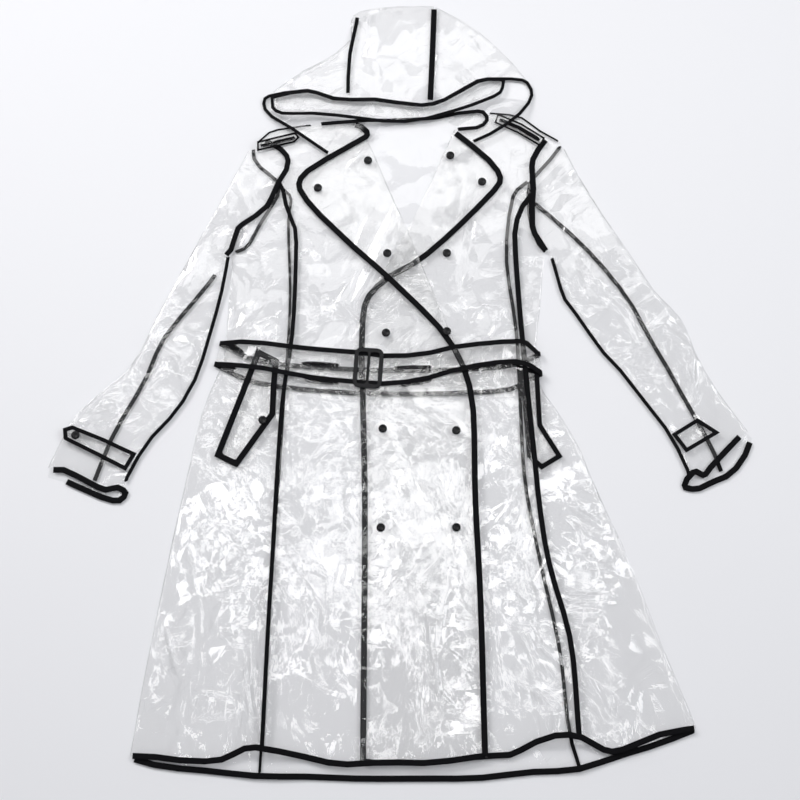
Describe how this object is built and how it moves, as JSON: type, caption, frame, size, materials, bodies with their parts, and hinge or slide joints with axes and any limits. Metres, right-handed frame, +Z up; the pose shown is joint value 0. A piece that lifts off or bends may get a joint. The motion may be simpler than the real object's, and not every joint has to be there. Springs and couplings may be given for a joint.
{
  "type": "raincoat",
  "caption": "Clear hooded trench raincoat laid flat, with notched lapels, set-in sleeves, a belt with a slide buckle, and dark binding on every seam and edge.",
  "frame": {"origin": "middle of the laid-out coat's width and length, on the surface that it lies on", "axes": "+X to the wearer's left, +Y from the hem towards the hood, +Z up from the surface"},
  "size_m": [1.1884, 1.3523, 0.0197],
  "materials": {
    "clear_film": "clear, glossy, soft PVC film",
    "binding_tape": "satin black PVC binding",
    "snap_plastic": "black moulded snap caps",
    "buckle_plastic": "glossy black moulded slide buckle"
  },
  "bodies": {
    "root": {"back_panel": "clear_film", "side_panel_right": "clear_film", "side_panel_left": "clear_film", "front_right": "clear_film", "front_left": "clear_film", "sleeve_right": "clear_film", "sleeve_left": "clear_film", "under_sleeve_right": "clear_film", "under_sleeve_left": "clear_film", "hood_centre": "clear_film", "hood_side_right": "clear_film", "hood_side_left": "clear_film", "visor": "clear_film", "epaulette_right": "clear_film", "epaulette_left": "clear_film", "cuff_strap_right": "clear_film", "cuff_strap_left": "clear_film", "pocket_flap_right": "clear_film", "pocket_flap_left": "clear_film", "belt": "clear_film", "buckle": "buckle_plastic", "snap_lapel_right_upper": "snap_plastic", "snap_lapel_right_corner": "snap_plastic", "snap_lapel_left_upper": "snap_plastic", "snap_lapel_left_corner": "snap_plastic", "snap_front_right_1": "snap_plastic", "snap_front_right_2": "snap_plastic", "snap_front_right_3": "snap_plastic", "snap_front_right_4": "snap_plastic", "snap_front_left_1": "snap_plastic", "snap_front_left_2": "snap_plastic", "snap_front_left_3": "snap_plastic", "snap_front_left_4": "snap_plastic", "snap_pocket_flap": "snap_plastic", "snap_cuff_strap": "snap_plastic", "tape_edge_right": "binding_tape", "tape_edge_left": "binding_tape", "tape_hem_back": "binding_tape", "tape_hem_right": "binding_tape", "tape_hem_left": "binding_tape", "tape_princess_front_right": "binding_tape", "tape_princess_front_left": "binding_tape", "tape_princess_back_right": "binding_tape", "tape_princess_back_left": "binding_tape", "tape_armhole_front_right": "binding_tape", "tape_armhole_front_left": "binding_tape", "tape_armhole_back_right": "binding_tape", "tape_armhole_back_left": "binding_tape", "tape_shoulder_right": "binding_tape", "tape_shoulder_left": "binding_tape", "tape_sleeve_inner_right": "binding_tape", "tape_sleeve_inner_left": "binding_tape", "tape_sleeve_middle_right": "binding_tape", "tape_sleeve_middle_left": "binding_tape", "tape_cuff_right": "binding_tape", "tape_cuff_left": "binding_tape", "tape_hood_seam_right": "binding_tape", "tape_hood_seam_left": "binding_tape", "tape_face": "binding_tape", "tape_neck": "binding_tape"}
  },
  "joints": []
}
